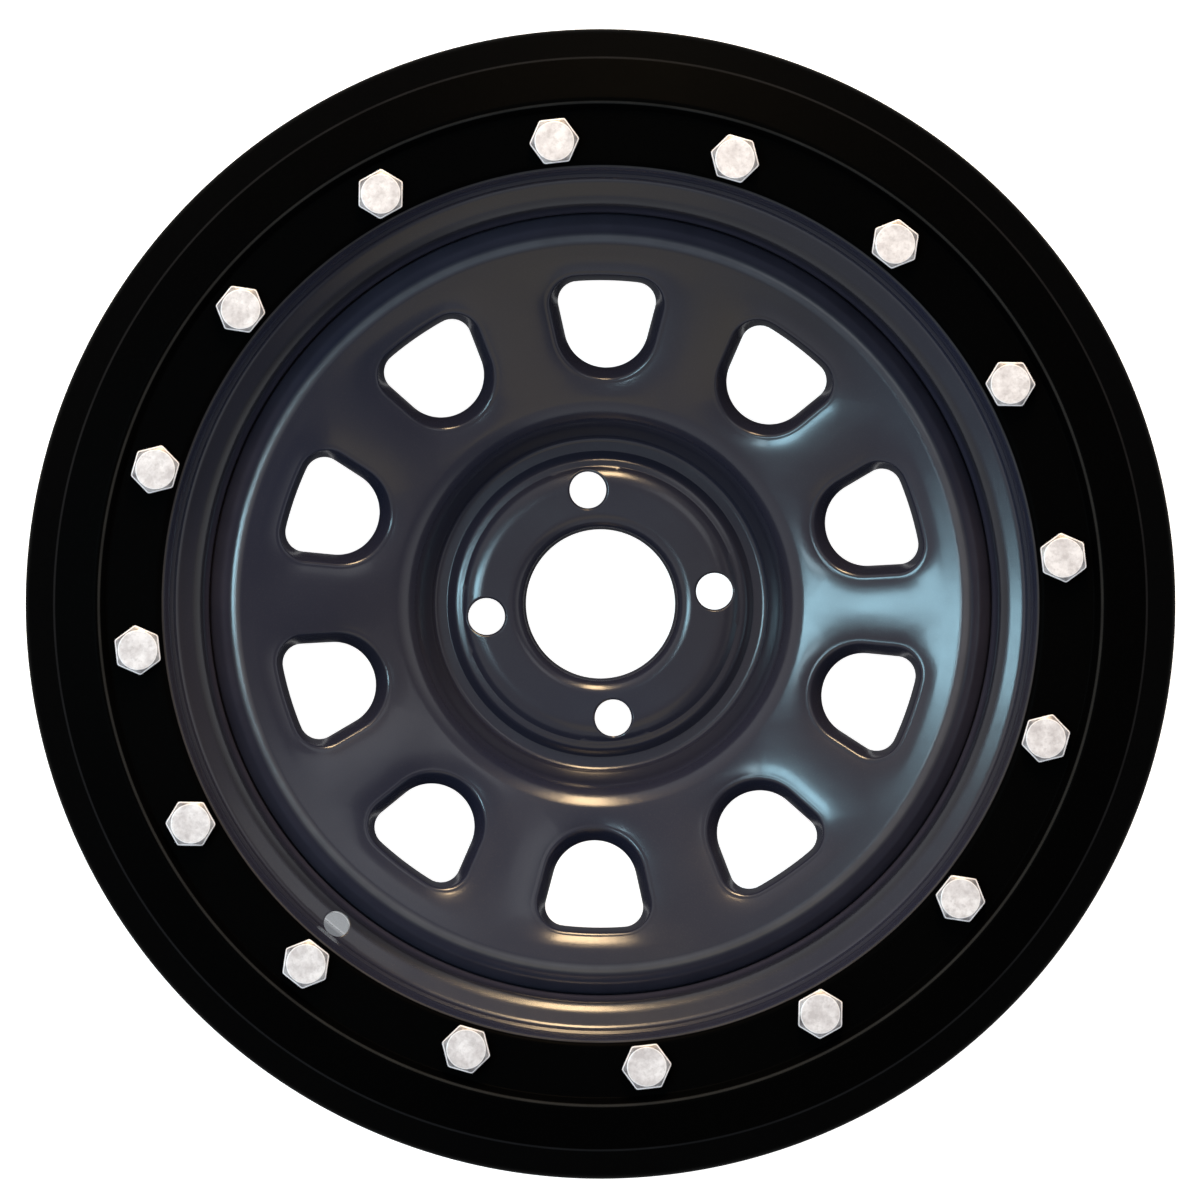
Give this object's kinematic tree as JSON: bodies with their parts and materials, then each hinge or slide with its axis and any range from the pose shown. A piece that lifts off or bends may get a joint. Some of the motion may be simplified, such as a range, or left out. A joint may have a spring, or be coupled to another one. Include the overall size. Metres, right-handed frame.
{
  "type": "steel wheel with simulated beadlock ring",
  "caption": "Pressed steel wheel with D-shaped windows, an offset drop centre and a bolted-on ring that imitates a beadlock over the front flange.",
  "frame": {"origin": "on the axle line, at the floor under the rear flange", "axes": "+Z along the axle line towards the wheel's front; +Y is the top of the picture and +X its right"},
  "size_m": [0.4987, 0.4988, 0.2203],
  "materials": {
    "rim_paint": "gloss black paint",
    "disc_paint": "gloss black paint",
    "weld_paint": "gloss black paint over a rippled weld",
    "mount_coat": "satin black powder coat",
    "ring_coat": "satin black powder coat",
    "bolt_zinc": "bright zinc plating"
  },
  "bodies": {
    "root": {"rim_barrel": "rim_paint", "wheel_disc": "disc_paint", "disc_welds": "weld_paint", "mounting_ring": "mount_coat", "mounting_ring_welds": "weld_paint", "simulator_ring": "ring_coat", "ring_bolts": "bolt_zinc"}
  },
  "joints": []
}
